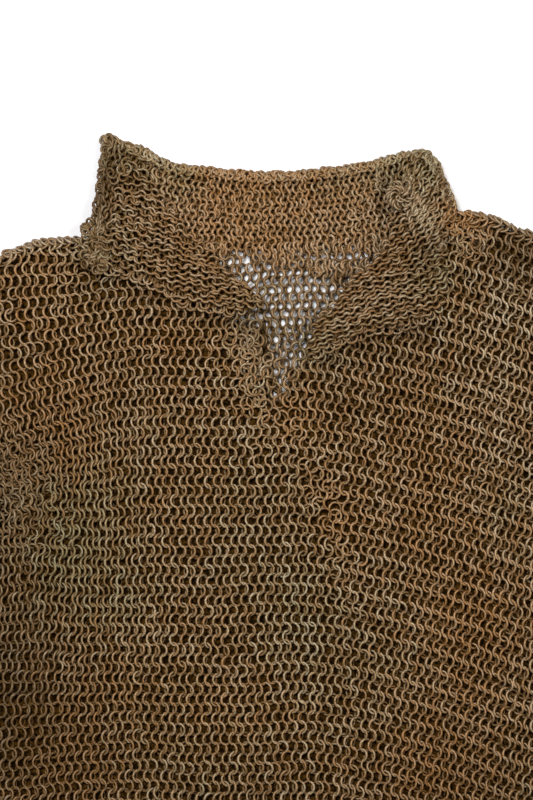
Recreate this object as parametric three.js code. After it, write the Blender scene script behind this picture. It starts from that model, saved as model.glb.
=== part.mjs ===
// A chainmail hauberk laid out flat on its back: a body of two panels, two short sleeves, and a
// collar whose open front ends are turned out as lapels over a neck slit.
// Millimetres. +X runs to the right across the chest, +Y from the hem to the collar, +Z up from
// the surface that the garment lies on. The origin is at the middle of its footprint.
import * as THREE from "three";

// ---- Driving dimensions --------------------------------------------------------------------

const LENGTH = 772; // hem of the back to the tip of the collar
const SPAN = 880; // cuff to cuff
const WALL = 4.5; // one layer of mail as it lies, its rings leaning to either side
const GAP = 0.3; // between neighbouring pieces
const HEM_HALF_WIDTH = 300;
const HEM_SAG = 8; // how much higher the hem is at its corners than in its middle
const FRONT_HEM_RISE = 14; // the front is that much shorter than the back
const ARMPIT_HALF_WIDTH = 285;
const ARMPIT_Y = 72;
const CUFF_SETBACK = 7; // the upper layer of a sleeve ends that much before the lower one
const FOLD_RISE = 2; // how much thicker a lapel is along its fold than elsewhere
const FOLD_REACH = 30; // how far from the fold a lapel takes to thin down
const STEP = 15; // widest column of the faceted upper layer

const HEM_Y = -LENGTH / 2;

// ---- Outlines, each a list of [x, y] from the left ---------------------------------------------

const LEFT_SHOULDER = [
  [-235, 283], [-211, 293], [-188, 302], [-161, 312], [-138, 314],
];
const RIGHT_SHOULDER = [
  [135, 332], [150, 332], [160, 329], [174, 322], [186, 318], [210, 309], [235, 300],
];

// The front's neckline: under the left lapel, the slit, under the right lapel.
const NECKLINE = [
  [-119, 314], [-90, 300], [-60, 284], [-30, 268], [-5, 256], [-1.5, 214], [-0.5, 203], [4, 206],
  [10.5, 216], [20, 227], [26, 236], [38, 250], [52, 267], [70, 286], [95, 304], [118, 320],
];

// The seam along the back's neck, which carries the collar.
const NECK_SEAM = [
  [-122, 316], [-90, 311], [-60, 307.5], [-30, 305.5], [0, 305], [30, 305.5], [60, 308],
  [90, 314], [118, 325],
];

// Rim of the collar behind the neck, between its two side folds.
const COLLAR_RIM = [
  [-113.5, 386], [-96, 381], [-81, 375], [-65, 366], [-47, 364], [-20, 361], [1, 360],
  [22, 361], [50, 364], [71, 367], [85, 371], [97, 374.5], [113, 374.5], [120, 366],
];

// Inner and outer edges of the lapels, from the collar's rim to the lapel's free tip.
const LEFT_LAPEL_INNER = [
  [-111, 385.5], [-93, 380], [-86, 372.7], [-79.8, 358], [-72.1, 345.4], [-63.7, 335.6],
  [-54.6, 319.5], [-36.4, 304.1], [-19.6, 285.9], [-4.2, 274.7], [0, 271],
];
const LEFT_LAPEL_OUTER = [
  [-114, 385], [-115, 372], [-116.2, 361.5], [-119.7, 338.4], [-121, 328.6], [-128, 316],
  [-131, 304], [-119, 293], [-102, 289], [-87, 284.5], [-72, 277], [-58.8, 268.4],
  [-40, 264], [-24, 260.7], [-8.4, 264.2], [-1, 268],
];
const RIGHT_LAPEL_INNER = [
  [92.4, 373.4], [90.3, 365], [87.5, 354.5], [84.7, 343.3], [87.5, 336.3], [86.1, 325.1],
  [79.8, 307.6], [74.2, 299.2], [63, 292.9], [56, 284.5], [49, 274.7], [38, 263.5],
  [33.6, 255], [28, 241.8], [26, 233.5],
];
const RIGHT_LAPEL_OUTER = [
  [104.3, 375.5], [112.7, 374.8], [118.3, 369.2], [123.2, 358], [130.2, 339], [131, 333],
  [128.8, 323], [125.3, 309], [126.7, 291.5], [128, 276], [126, 269], [120.4, 262],
  [108.5, 255], [94.5, 251], [79.8, 250], [65.8, 246.7], [49, 239.7], [35.7, 231.3],
  [29.4, 229.2],
];

// Cuffs: each one's corner at the top of the sleeve, and at its underside.
const LEFT_CUFF = { top: [-SPAN / 2, 205], bottom: [-372, 31] };
const RIGHT_CUFF = { top: [SPAN / 2, 220], bottom: [372, 46] };

// ---- Relief ----------------------------------------------------------------------------------

// Soft creases of the upper layer: where each starts and ends, its reach to either side and its
// height. They fade out towards both ends, and those of the skirt run off the hem.
const CREASES = [
  { from: [-268, 92], to: [-128, 224], reach: 17, height: 6 },
  { from: [270, 100], to: [126, 226], reach: 18, height: 5.5 },
  { from: [-206, 284], to: [-148, 290], reach: 13, height: 3.5 },
  { from: [206, 290], to: [156, 262], reach: 14, height: 3.5 },
  { from: [-178, 214], to: [-156, -60], reach: 15, height: 5 },
  { from: [12, 190], to: [66, 30], reach: 18, height: 3 },
  { from: [150, 180], to: [188, -40], reach: 22, height: 4 },
  { from: [-84, 60], to: [-70, -120], reach: 24, height: 3 },
  { from: [-228, 20], to: [-254, -480], reach: 20, height: 6 },
  { from: [-96, -90], to: [-124, -490], reach: 24, height: 5.5 },
  { from: [4, -170], to: [16, -470], reach: 26, height: 4 },
  { from: [112, -70], to: [138, -490], reach: 24, height: 5.5 },
  { from: [222, 10], to: [250, -480], reach: 21, height: 6 },
  { from: [-292, 262], to: [-300, 84], reach: 15, height: 5 },
  { from: [-350, 232], to: [-346, 70], reach: 14, height: 4.5 },
  { from: [-400, 214], to: [-372, 92], reach: 14, height: 4 },
  { from: [294, 274], to: [302, 96], reach: 15, height: 5 },
  { from: [352, 240], to: [340, 84], reach: 14, height: 4.5 },
  { from: [402, 226], to: [372, 100], reach: 14, height: 4 },
];

// Round the neck, beneath the collar and its lapels, the mail lies without a crease.
const CALM = { centre: [5, 300], halfWidth: 150, halfHeight: 90, fadesBy: 1.5 };

const { lerp, clamp } = THREE.MathUtils;
const smooth = (low, high, value) => THREE.MathUtils.smoothstep(value, low, high);

// Distance from a point to the stretch between two others, and how far along it that is.
function offLine([ax, ay], [bx, by], x, y) {
  const [dx, dy] = [bx - ax, by - ay];
  const along = clamp(((x - ax) * dx + (y - ay) * dy) / (dx * dx + dy * dy), 0, 1);
  return { along, away: Math.hypot(x - ax - along * dx, y - ay - along * dy) };
}

// A crease's rise at a point: a bell across its line, fading over the last fifth at each end.
function rise({ from, to, reach, height }, x, y) {
  const { along, away } = offLine(from, to, x, y);
  const fade = smooth(0, 0.2, along) * (1 - smooth(0.8, 1, along));
  return height * fade * Math.exp(-((away / reach) ** 2));
}

function relief(x, y) {
  const { centre, halfWidth, halfHeight, fadesBy } = CALM;
  const ring = Math.hypot((x - centre[0]) / halfWidth, (y - centre[1]) / halfHeight);
  return smooth(1, fadesBy, ring) * CREASES.reduce((sum, crease) => sum + rise(crease, x, y), 0);
}

// The faces of the two layers. The lower layer is flat on both sides.
const lowerTop = WALL;
const upperBottom = (x, y) => WALL + GAP + relief(x, y);
const upperTop = (x, y) => upperBottom(x, y) + WALL;

// What a lapel lies on: the front and, inside the neckline, the collar's back below it. It bridges
// the step between them, level for the first stretch from the front's edge and then sloping.
const BRIDGE = [18, 46];

function lapelBottom(x, y) {
  const edge = [...LEFT_SHOULDER, ...NECKLINE, ...RIGHT_SHOULDER];
  const i = clamp(edge.findIndex(([px]) => px >= x), 1, edge.length - 1);
  const below = lerp(edge[i - 1][1], edge[i][1],
    clamp((x - edge[i - 1][0]) / (edge[i][0] - edge[i - 1][0]), 0, 1));
  const away = y <= below ? 0 : Math.min(
    ...edge.slice(1).map((point, j) => offLine(edge[j], point, x, y).away));
  return GAP + lerp(upperTop(x, y), lowerTop, smooth(...BRIDGE, away));
}

// ---- Walls of mail ---------------------------------------------------------------------------

const BROWN = 0x7a5c3c;
const DARK = 0x4a3523;
const RUST = 0x8a6238;

const steps = (count) => Array.from({ length: count + 1 }, (_, i) => i / count);
const between = ([x0, y0], [x1, y1], share) => [lerp(x0, x1, share), lerp(y0, y1, share)];

function named(name, geometry, color) {
  const mesh = new THREE.Mesh(
    geometry, new THREE.MeshStandardMaterial({ color, roughness: 0.6, metalness: 0.4 }));
  mesh.name = name;
  return mesh;
}

// A wall that lies flat on the surface below the garment, from its outline.
function flatWall(name, outline, color) {
  const shape = new THREE.Shape(outline.map(([x, y]) => new THREE.Vector2(x, y)));
  return named(
    name, new THREE.ExtrudeGeometry(shape, { depth: WALL, bevelEnabled: false }), color);
}

// A closed wall over a grid of [x, y] points, between two height functions. The grid's rows run
// up the garment and its columns to the right, so that the upper side faces +Z.
function drapedWall(name, grid, bottom, top, color) {
  const rows = grid.length;
  const columns = grid[0].length;
  const flat = grid.flat();
  const points = [
    ...flat.map(([x, y]) => [x, y, top(x, y)]),
    ...flat.map(([x, y]) => [x, y, bottom(x, y)]),
  ];
  const above = (row, column) => row * columns + column;
  const below = (row, column) => above(row, column) + flat.length;
  const faces = [];
  const quad = (a, b, c, d) => faces.push(a, b, c, a, c, d);
  for (let r = 0; r < rows - 1; r++) {
    for (let c = 0; c < columns - 1; c++) {
      quad(above(r, c), above(r, c + 1), above(r + 1, c + 1), above(r + 1, c));
      quad(below(r, c), below(r + 1, c), below(r + 1, c + 1), below(r, c + 1));
    }
  }
  const last = { row: rows - 1, column: columns - 1 };
  for (let c = 0; c < columns - 1; c++) {
    quad(above(0, c), below(0, c), below(0, c + 1), above(0, c + 1));
    quad(above(last.row, c), above(last.row, c + 1), below(last.row, c + 1), below(last.row, c));
  }
  for (let r = 0; r < rows - 1; r++) {
    quad(above(r, 0), above(r + 1, 0), below(r + 1, 0), below(r, 0));
    quad(above(r, last.column), below(r, last.column), below(r + 1, last.column),
      above(r + 1, last.column));
  }
  const geometry = new THREE.BufferGeometry();
  geometry.setAttribute("position", new THREE.Float32BufferAttribute(points.flat(), 3));
  geometry.setIndex(faces);
  geometry.computeVertexNormals();
  return named(name, geometry, color);
}

// Points at equal steps along a line of points.
function spaced(line, count) {
  const path = new THREE.CurvePath();
  line.slice(1).forEach((point, i) => path.add(
    new THREE.LineCurve(new THREE.Vector2(...line[i]), new THREE.Vector2(...point))));
  return path.getSpacedPoints(count - 1).map(({ x, y }) => [x, y]);
}

// The same line with more points, so that no step to the right is longer than STEP.
function refined(line) {
  const finer = line.slice(1).flatMap((point, i) => {
    const count = Math.ceil((point[0] - line[i][0]) / STEP);
    return steps(count).slice(1).map((share) => between(line[i], point, share));
  });
  return [line[0], ...finer];
}

// A ruled grid: each row lies the same share of the way from the first line to the last.
const ruled = (first, last, count) => steps(count).map(
  (share) => first.map((point, i) => between(point, last[i], share)));

// ---- Body ------------------------------------------------------------------------------------

const SKIRT_ROWS = 22; // hem to armpit
const CHEST_ROWS = 12; // armpit to shoulder

// The hem below the given points of a panel's upper edge, and the armpit line there.
const shoulderEnd = RIGHT_SHOULDER.at(-1)[0];
const hemBelow = (edge, raised) => edge.map(([x]) => {
  const share = x / shoulderEnd;
  return [share * HEM_HALF_WIDTH, HEM_Y + raised + HEM_SAG * share * share];
});
const armpitBelow = (edge) =>
  edge.map(([x]) => [(x / shoulderEnd) * ARMPIT_HALF_WIDTH, ARMPIT_Y]);

function bodyBack() {
  const upperEdge = [...LEFT_SHOULDER, ...NECK_SEAM, ...RIGHT_SHOULDER];
  const hem = hemBelow(upperEdge, 0);
  const outline = [
    ...hem, [ARMPIT_HALF_WIDTH, ARMPIT_Y], ...upperEdge.reverse(), [-ARMPIT_HALF_WIDTH, ARMPIT_Y]];
  return flatWall("body_back", outline, DARK);
}

function bodyFront() {
  const upperEdge = refined([...LEFT_SHOULDER, ...NECKLINE, ...RIGHT_SHOULDER]);
  const hem = hemBelow(upperEdge, FRONT_HEM_RISE);
  const armpit = armpitBelow(upperEdge);
  const grid = [
    ...ruled(hem, armpit, SKIRT_ROWS), ...ruled(armpit, upperEdge, CHEST_ROWS).slice(1)];
  return drapedWall("body_front", grid, upperBottom, upperTop, BROWN);
}

// ---- Sleeves ---------------------------------------------------------------------------------

const SLEEVE_STEPS = 11;

// Both layers of the sleeve on one side, -1 for the left and 1 for the right. Its corners are the
// armpit, the shoulder and the two ends of the cuff.
function sleeve(word, side, { top, bottom }) {
  const armpit = [side * (ARMPIT_HALF_WIDTH + GAP), ARMPIT_Y];
  const shoulderY = (side < 0 ? LEFT_SHOULDER[0] : RIGHT_SHOULDER.at(-1))[1];
  const shoulder = [side * (shoulderEnd + GAP), shoulderY];
  const around = [armpit, bottom, top, shoulder];
  const lower = flatWall(
    `sleeve_${word}_lower`, side < 0 ? around.reverse() : around, DARK);

  const setBack = ([x, y]) => [x - side * CUFF_SETBACK, y];
  const cuff = [setBack(bottom), setBack(top)];
  const [left, right] = side < 0 ? [cuff, [armpit, shoulder]] : [[armpit, shoulder], cuff];
  const row = (share) => {
    const [start, end] = [between(...left, share), between(...right, share)];
    return steps(SLEEVE_STEPS).map((across) => between(start, end, across));
  };
  const upper = drapedWall(
    `sleeve_${word}_upper`, steps(SLEEVE_STEPS).map(row), upperBottom, upperTop, BROWN);
  return [lower, upper];
}

// ---- Collar ----------------------------------------------------------------------------------

const LAPEL_SECTIONS = 26; // along the fold
const LAPEL_STEPS = 5; // from the fold to the rim

// The back of the collar stands on the seam of the back panel and lies out flat above it.
function collarBack() {
  const foot = [...NECK_SEAM, RIGHT_SHOULDER[0]].map(([x, y]) => [x, y + GAP]);
  return flatWall("collar_back", [...foot, ...COLLAR_RIM.toReversed()], RUST);
}

// A lapel: one end of the collar, turned out over the front. It is ruled between its two edges
// and is a little thicker along the fold, its inner edge.
function lapel(word, inner, outer) {
  const folds = spaced(inner, LAPEL_SECTIONS + 1).reverse();
  const rims = spaced(outer, LAPEL_SECTIONS + 1).reverse();
  const [left, right] = word === "left" ? [rims, folds] : [folds, rims];
  const grid = left.map((start, i) =>
    steps(LAPEL_STEPS).map((across) => between(start, right[i], across)));
  const fromFold = (x, y) => Math.min(...folds.map(([fx, fy]) => Math.hypot(x - fx, y - fy)));
  const top = (x, y) =>
    lapelBottom(x, y) + WALL + FOLD_RISE * (1 - smooth(0, FOLD_REACH, fromFold(x, y)));
  return drapedWall(`lapel_${word}`, grid, lapelBottom, top, BROWN);
}

// ---- The garment -----------------------------------------------------------------------------

const hauberk = new THREE.Group();
hauberk.add(
  bodyBack(),
  bodyFront(),
  ...sleeve("left", -1, LEFT_CUFF),
  ...sleeve("right", 1, RIGHT_CUFF),
  collarBack(),
  lapel("left", LEFT_LAPEL_INNER, LEFT_LAPEL_OUTER),
  lapel("right", RIGHT_LAPEL_INNER, RIGHT_LAPEL_OUTER),
);
export default hauberk;
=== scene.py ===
import bpy
import numpy as np
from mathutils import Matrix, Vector


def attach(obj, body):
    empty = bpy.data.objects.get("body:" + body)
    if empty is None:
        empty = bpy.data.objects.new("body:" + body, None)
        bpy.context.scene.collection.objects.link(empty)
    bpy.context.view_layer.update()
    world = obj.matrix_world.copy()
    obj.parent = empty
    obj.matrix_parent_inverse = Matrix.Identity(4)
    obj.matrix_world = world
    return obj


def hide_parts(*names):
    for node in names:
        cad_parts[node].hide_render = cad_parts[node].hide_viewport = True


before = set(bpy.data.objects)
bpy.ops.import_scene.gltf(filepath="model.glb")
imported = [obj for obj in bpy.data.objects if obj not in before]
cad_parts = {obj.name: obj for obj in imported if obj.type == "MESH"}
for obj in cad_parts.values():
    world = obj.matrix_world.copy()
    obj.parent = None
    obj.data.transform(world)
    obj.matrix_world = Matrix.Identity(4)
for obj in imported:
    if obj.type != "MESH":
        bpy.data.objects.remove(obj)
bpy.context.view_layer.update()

# ---- The back panel ----
# The layer of mail that lies on the floor: iron wire rings, each through four neighbours. Most of
# it is hidden, so it is a thin wall, dark brown with painted shade for its rings in shadow, with a
# band of real rings along its open edges, and real rings alone inside the neck slit, where the
# floor shows through them.

MM = 0.001
LAYER = 4.5 * MM  # height of one layer of mail
GAP = 0.3 * MM
FOIL = 0.35 * MM  # thickness of the dark wall behind the rings
LOWER_WALL_LIFT = 1.2 * MM  # height of that wall over the floor in the lower layers
HEM_Y = -386 * MM
HEM_HALF_WIDTH = 300 * MM
HEM_SAG = 8 * MM
ARMPIT_HALF_WIDTH = 285 * MM
ARMPIT_Y = 72 * MM
SHOULDER_HALF_WIDTH = 235 * MM


def mm(*places):
    """Numbers or points given in mm, as an array in metres."""
    return MM * np.array(places)


LEFT_SHOULDER = mm([-235, 283], [-211, 293], [-188, 302], [-161, 312], [-138, 314])
RIGHT_SHOULDER = mm(
    [135, 332], [150, 332], [160, 329], [174, 322], [186, 318], [210, 309], [235, 300])
NECKLINE = mm(
    [-119, 314], [-90, 300], [-60, 284], [-30, 268], [-5, 256], [-1.5, 214], [-0.5, 203], [4, 206],
    [10.5, 216], [20, 227], [26, 236], [38, 250], [52, 267], [70, 286], [95, 304], [118, 320])
FRONT_TOP = np.vstack([LEFT_SHOULDER, NECKLINE, RIGHT_SHOULDER])
LEFT_CUFF = mm([-372, 31], [-440, 205])
RIGHT_CUFF = mm([372, 46], [440, 220])

rng = np.random.default_rng(1187)


def hem_line(x, raised):
    """Height of a panel's hem at x: lowest in the middle, rising with the square of x."""
    return HEM_Y + raised + HEM_SAG * (x / HEM_HALF_WIDTH) ** 2


def garment_outline(raised, setback):
    """The whole shirt's closed outline without its collar, from the hem's left corner round to the
    right: hem, right sleeve, shoulders with the neckline between them, left sleeve."""
    hem_x = np.linspace(-HEM_HALF_WIDTH, HEM_HALF_WIDTH, 13)
    hem = np.column_stack([hem_x, hem_line(hem_x, raised)])
    right = RIGHT_CUFF - [setback, 0]
    left = LEFT_CUFF + [setback, 0]
    armpit = np.array([ARMPIT_HALF_WIDTH, ARMPIT_Y])
    return np.vstack([
        hem, [armpit], right, FRONT_TOP[::-1], left[::-1], [armpit * [-1, 1]]])


def to_outline(points, outline, closed=True):
    """Signed distance of points, in plan, from an outline, positive within, and the unit vector
    from each towards it. The distance is to the nearest straight stretch, and the sign comes from
    how often a ray to the right crosses the stretches."""
    points = points[:, :2]
    start, end = outline, np.roll(outline, -1, axis=0)
    if not closed:
        start, end = outline[:-1], outline[1:]
    step = end - start
    away = points[:, None] - start
    share = np.clip((away * step).sum(-1) / (step ** 2).sum(-1), 0, 1)
    gap = share[..., None] * step - away
    distance = np.linalg.norm(gap, axis=-1)
    nearest = distance.argmin(1)
    rows = np.arange(len(points))
    lowest = distance[rows, nearest]
    spans = (start[:, 1] > points[:, None, 1]) != (end[:, 1] > points[:, None, 1])
    rise = np.where(step[:, 1] == 0, 1, step[:, 1])
    cross = start[:, 0] + (points[:, None, 1] - start[:, 1]) / rise * step[:, 0]
    within = ((spans & (points[:, None, 0] < cross)).sum(1) % 2).astype(bool)
    towards = gap[rows, nearest] / np.maximum(lowest, 1e-9)[:, None]
    sign = np.where(within, 1, -1)
    return sign * lowest, towards * sign[:, None]


def off_line(points, line):
    """Distance of points, in plan, from an open line."""
    return np.abs(to_outline(points, line, closed=False)[0])


def unit(vectors):
    """Each vector over its own length."""
    return vectors / np.linalg.norm(vectors, axis=1)[:, None]


def squared(along, outward):
    """Unit vectors along, each less its share of the unit vector outward: square to it."""
    return unit(along - (along * outward).sum(1)[:, None] * outward)


def level_way(plan):
    """Directions in plan (N, 2) as directions in space, with no rise."""
    return np.column_stack([plan, np.zeros(len(plan))])


def level(height):
    """A surface at one height everywhere."""
    return lambda x, y: 0 * x + height


def new_object(name, data):
    """An object made of its data, in the scene."""
    item = bpy.data.objects.new(name, data)
    bpy.context.scene.collection.objects.link(item)
    return item


def new_mesh(name, points, quads):
    """A mesh object from points (N, 3) and four-cornered faces (M, 4), smooth shaded."""
    mesh = bpy.data.meshes.new(name)
    mesh.vertices.add(len(points))
    mesh.vertices.foreach_set("co", points.astype(np.float32).ravel())
    mesh.loops.add(quads.size)
    mesh.loops.foreach_set("vertex_index", quads.astype(np.int32).ravel())
    mesh.polygons.add(len(quads))
    mesh.polygons.foreach_set("loop_start", np.arange(0, quads.size, 4, dtype=np.int32))
    mesh.polygons.foreach_set("use_smooth", np.ones(len(quads), bool))
    mesh.update(calc_edges=True)
    return new_object(name, mesh)


def lattice(u_range, v_range, across_pitch, row_pitch):
    """Centres of the rings of a weave, on the flat: rows a row pitch apart, every second one set
    over by half a ring pitch. Returns u, v and the way each row leans, -1 or 1."""
    rows = np.arange(np.floor(v_range[0] / row_pitch), np.ceil(v_range[1] / row_pitch) + 1)
    columns = np.arange(
        np.floor(u_range[0] / across_pitch), np.ceil(u_range[1] / across_pitch) + 1)
    row, column = (part.ravel() for part in np.meshgrid(rows, columns, indexing="ij"))
    odd = row % 2
    return (column + odd / 2) * across_pitch, row * row_pitch, 1 - 2 * odd


STEP = 0.4 * MM  # how far apart a surface's directions are taken
LEAST_LEAN, MOST_LEAN = 0.1, 0.76  # as sines


def runs(surface, u, v):
    """The ways a surface runs at (u, v): across its rows and along its strands, each between the
    points a step before and a step after."""
    return surface(u + STEP, v) - surface(u - STEP, v), surface(u, v + STEP) - surface(u, v - STEP)


def weave(surface, u, v, side, across_pitch, wire, slack=1.7):
    """Places rings on a surface, a function of (u, v) that gives points. A ring lies flat on it,
    with one axis along its strand, the way v runs, and leans about that axis until a neighbour in
    its row clears it: the lean's sine is the wire over their distance, times a slack."""
    centre = surface(u, v)
    row, strand = runs(surface, u, v)
    outward = np.cross(row, strand)
    area = np.linalg.norm(outward, axis=1)
    pitch = across_pitch * area / np.linalg.norm(strand, axis=1) / (2 * STEP)
    outward /= (area * np.sign(outward[:, 2]))[:, None]
    along = unit(np.cross(strand, outward))
    lean = side * np.arcsin(np.clip(slack * wire / pitch, LEAST_LEAN, MOST_LEAN))
    return centre, along, outward, lean


def shaken(centre, along, outward, lean, amount):
    """The same rings, each moved, turned in its plane and leant by a small random amount, more
    where the weave is untidy."""
    count = len(centre)
    amount = amount * np.ones(count)
    across = np.cross(outward, along)
    shift = rng.normal(0, 0.42 * MM, (count, 2)) * amount[:, None]
    centre = centre + shift[:, :1] * along + shift[:, 1:] * across
    spin = rng.normal(0, 0.13, count) * amount
    tip = rng.normal(0, 0.10, count) * amount
    along = along * np.cos(spin)[:, None] + across * np.sin(spin)[:, None]
    outward = unit(outward + np.cross(along, outward) * tip[:, None])
    lean = lean + rng.normal(0, 0.08, count) * amount
    return centre, squared(along, outward), outward, lean


def blob(centre, places):
    """Soft round patches added up, at each centre: a place is x, y, reach and strength."""
    x, y = centre[:, 0], centre[:, 1]
    return sum(
        strength * np.exp(-((x - cx * MM) ** 2 + (y - cy * MM) ** 2) / (reach * MM) ** 2)
        for cx, cy, reach, strength in places)


AT_JOINT, BY_JOINT = 1.28, 1.08  # how much thicker the wire is at its joint, and next to it


def rings(name, centre, along, outward, lean, radius, wire, sides, wire_sides):
    """Rings as one joined mesh. A ring is a circle of wire carried round a circle: from its centre
    go the ring's radius along a spoke, then the wire's half thickness about the spoke's end. The
    wire is thicker at the ring's lapped joint, and the ring is slightly out of round. A ring that
    would sink into the floor is raised until it rests on it."""
    patina_and_shade = patina_and_shade_at(centre)
    count = len(centre)
    across = np.cross(outward, along)
    flat = along * np.cos(lean)[:, None] + outward * np.sin(lean)[:, None]
    normal = outward * np.cos(lean)[:, None] - along * np.sin(lean)[:, None]
    turn = 2 * np.pi * np.arange(sides) / sides
    spoke = flat[:, None] * np.cos(turn)[:, None] + across[:, None] * np.sin(turn)[:, None]
    joint = rng.integers(0, sides, (count, 1))
    from_joint = np.abs((np.arange(sides) - joint + sides // 2) % sides - sides // 2)
    swell = np.where(from_joint == 0, AT_JOINT, np.where(from_joint == 1, BY_JOINT, 1.0))
    half = wire / 2 * swell * rng.uniform(0.9, 1.1, (count, 1))
    longer = rng.uniform(0, np.pi, (count, 1))
    reach = (radius * np.ones(count))[:, None] * (
        rng.normal(1, 0.025, (count, 1)) + 0.03 * np.cos(2 * (turn - longer)))
    about = 2 * np.pi * np.arange(wire_sides) / wire_sides + np.pi / wire_sides
    out = reach[:, :, None] + half[:, :, None] * np.cos(about)
    lift = half[:, :, None] * np.sin(about)
    points = (
        centre[:, None, None] + spoke[:, :, None] * out[..., None]
        + normal[:, None, None] * lift[..., None])
    sunk = np.minimum(points[..., 2].min((1, 2)), 0)
    points[..., 2] -= sunk[:, None, None]
    i, j = np.meshgrid(np.arange(sides), np.arange(wire_sides), indexing="ij")
    next_i, next_j = (i + 1) % sides, (j + 1) % wire_sides
    quad = np.stack([
        i * wire_sides + j, next_i * wire_sides + j,
        next_i * wire_sides + next_j, i * wire_sides + next_j], -1).reshape(-1, 4)
    per_ring = sides * wire_sides
    quads = (np.arange(count)[:, None, None] * per_ring + quad).reshape(-1, 4)
    piece = new_mesh(name, points.reshape(-1, 3), quads)

    # Its own map gives every ring a cell: round the ring to the right, round the wire upwards.
    cells = int(np.ceil(np.sqrt(count)))
    corner = np.stack([
        np.stack([i, i + 1, i + 1, i], -1) / sides,
        np.stack([j, j, j + 1, j + 1], -1) / wire_sides], -1).reshape(-1, 2)
    cell = np.stack([np.arange(count) % cells, np.arange(count) // cells], -1)
    uv = (cell[:, None] + 0.06 + 0.88 * corner) / cells
    layer = piece.data.uv_layers.new(name="OFBake")
    layer.data.foreach_set("uv", uv.astype(np.float32).ravel())

    # What its material reads: a random tone for each ring, raised or lowered by the pale patches,
    # some of them painted glints; the patina where it lies, with painted shadow among its dark
    # patches; and how high in the weave each point of it is, in steps of 2 mm, by which the material
    # paints shade low in the weave.
    tone = np.clip(0.9 * rng.random(count) + blob(centre, PALE_AND_GLINTS), 0, 1)
    height = ((spoke * outward[:, None]).sum(-1) * reach / (2 * MM)).ravel()
    for word, kind, slot, values in (
            ("tone", "FLOAT", "value", np.repeat(tone, per_ring)),
            ("height", "FLOAT", "value", np.repeat(height, wire_sides)),
            ("patina_and_shade", "FLOAT_VECTOR", "vector", np.repeat(patina_and_shade, per_ring, axis=0))):
        attribute = piece.data.attributes.new(word, kind, "POINT")
        attribute.data.foreach_set(slot, values.astype(np.float32).ravel())
    return piece


# Patches of patina, each with its x, its y and its reach in mm, and its strength. Some dark ones
# are painted shadow and some pale ones painted glints, as said above those two lists.
OLIVE = [
    (-50, 357, 16, 0.3), (-8, 344, 16, 0.4), (38, 356, 13, 0.35), (-18, 117, 50, 0.35),
    (-4, 210, 16, 0.3), (-130, 140, 38, 0.75), (-140, 85, 42, 0.8), (-110, 60, 36, 0.55),
    (-112, 370, 22, 0.7), (112, 366, 24, 0.95), (93, 344, 10, -0.35), (110, 328, 10, 0.4),
    (-62, 361, 16, 0.8), (-86, 368, 18, 0.6), (55, 359, 20, 0.6), (84, 362, 16, 0.6),
    (8, 348, 10, 0.4), (118, 290, 24, 0.7), (-8, 266, 22, 0.8), (34, 238, 18, 0.75),
    (20, 60, 30, 0.5), (-116, 308, 18, 0.7), (60, 20, 50, 0.4), (-60, -40, 60, 0.45),
    (170, 120, 40, 0.4), (-250, -120, 80, 0.5), (90, -220, 90, 0.5), (240, -80, 80, 0.45),
    (-380, 150, 60, 0.5), (380, 160, 60, 0.4), (-120, -300, 80, 0.45)]
RUST = [
    (-140, -30, 70, 0.45), (120, -40, 70, 0.25), (-80, 0, 60, 0.3), (76, 300, 20, 0.4),
    (-165, 185, 40, 0.3), (-110, 354, 14, 0.5), (0, 330, 60, 0.65), (60, 350, 30, 0.35),
    (-30, 345, 40, 0.5), (142, 326, 14, 1.0), (126, 328, 9, 0.6), (-170, 280, 30, 0.5),
    (-150, 230, 45, 0.55), (-60, 240, 45, 0.5), (20, 190, 22, 0.85), (50, 120, 24, 0.7),
    (100, 190, 50, 0.45), (150, 60, 45, 0.6), (-150, -60, 40, 0.55), (-20, -20, 40, 0.4),
    (110, -60, 40, 0.5), (-60, 130, 40, 0.4), (60, -150, 70, 0.5), (-140, 176, 36, 0.55),
    (118, 122, 44, 0.6), (142, 25, 44, 0.45), (150, -50, 40, 0.4), (-200, -240, 70, 0.5),
    (230, -260, 80, 0.5), (-330, 200, 50, 0.4), (320, 190, 60, 0.5)]
# Dark patches: dark patina, and painted shadow beneath the lapels' lower edges and in the hollow by
# the right lapel's corner.
DARK_AND_SHADOWS = [
    (-172, 150, 34, 0.2), (76, 300, 18, 0.25), (-130, -40, 90, 0.1), (130, -50, 80, 0.1),
    (-30, 290, 9, 0.3), (40, 276, 12, 0.2), (112, 305, 13, 0.55), (121, 320, 5, 0.6),
    (124, 312, 5, 0.6), (83, 334, 4, 0.8), (86, 328, 6, 0.4), (83, 354, 4, 0.8),
    (81, 345, 4, 0.8), (95, 358, 4, 0.6), (182, 300, 26, 0.75), (160, 306, 16, 0.25),
    (-175, -20, 60, 0.35), (-186, 240, 20, 0.3), (-4, 250, 14, 0.6), (-120, 282, 14, 0.6),
    (-96, 278, 10, 0.6), (-76, 272, 9, 0.6), (-56, 264, 9, 0.6), (-36, 258, 9, 0.6),
    (-16, 254, 9, 0.6), (44, 230, 9, 0.5), (62, 239, 9, 0.6), (80, 244, 9, 0.6),
    (98, 248, 9, 0.6), (114, 252, 9, 0.5), (-112, 352, 11, 0.9), (-109, 370, 9, 0.8),
    (-117, 338, 9, 0.8), (-120, 318, 14, 0.35), (-192, 165, 48, 0.42), (-192, 95, 48, 0.5),
    (-192, 25, 48, 0.5), (-192, -55, 52, 0.5), (-110, -78, 50, 0.25), (-20, -92, 50, 0.2),
    (70, -92, 50, 0.2), (150, -78, 50, 0.3), (60, 210, 26, 0.2), (110, 232, 30, 0.2),
    (-110, 212, 30, 0.2)]
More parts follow.
